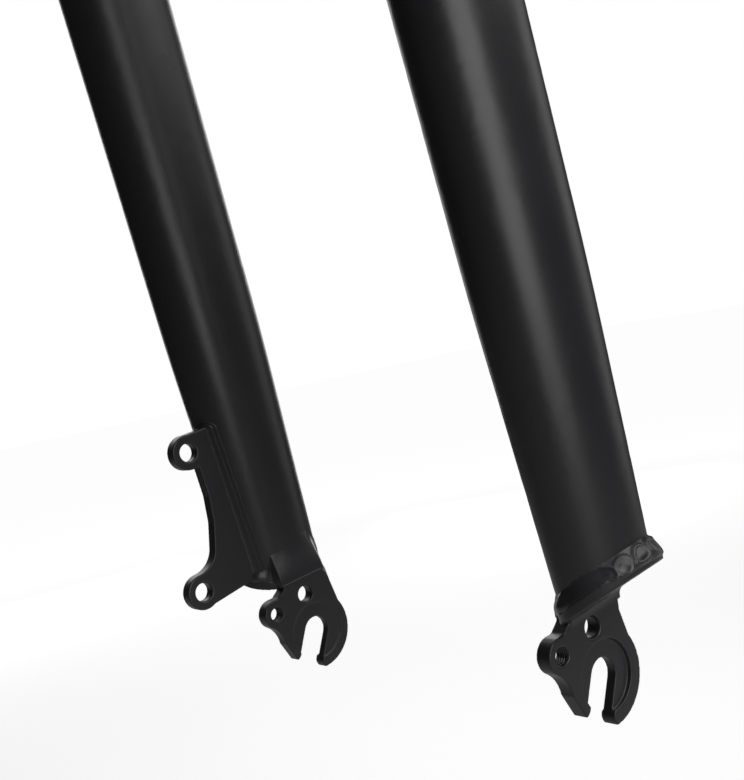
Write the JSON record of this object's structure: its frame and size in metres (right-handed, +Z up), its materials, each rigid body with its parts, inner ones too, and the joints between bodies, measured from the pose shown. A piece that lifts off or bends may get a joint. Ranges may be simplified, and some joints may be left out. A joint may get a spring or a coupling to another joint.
{
  "type": "fat bike fork",
  "caption": "Rigid fat bike front fork: steerer, crown boss, oval tapered blades that bend in at the crown, slotted dropouts and a disc brake plate.",
  "frame": {"origin": "centre of the crown race shoulder, on the steerer axis", "axes": "+Z up the steerer axis, +X forward, +Y to the rider's left"},
  "size_m": [0.0859, 0.1894, 0.7173],
  "materials": {
    "steerer": "satin",
    "crown_boss": "satin",
    "left_blade": "satin",
    "right_blade": "satin",
    "left_crown_weld": "satin",
    "right_crown_weld": "satin",
    "left_foot_weld": "satin",
    "right_foot_weld": "satin",
    "left_dropout": "satin",
    "right_dropout": "satin",
    "disc_brake_plate": "satin",
    "disc_plate_weld": "satin"
  },
  "bodies": {
    "root": {"steerer": "steerer", "crown_boss": "crown_boss", "left_blade": "left_blade", "right_blade": "right_blade", "left_crown_weld": "left_crown_weld", "right_crown_weld": "right_crown_weld", "left_foot_weld": "left_foot_weld", "right_foot_weld": "right_foot_weld", "left_dropout": "left_dropout", "right_dropout": "right_dropout", "disc_brake_plate": "disc_brake_plate", "disc_plate_weld": "disc_plate_weld"}
  },
  "joints": []
}
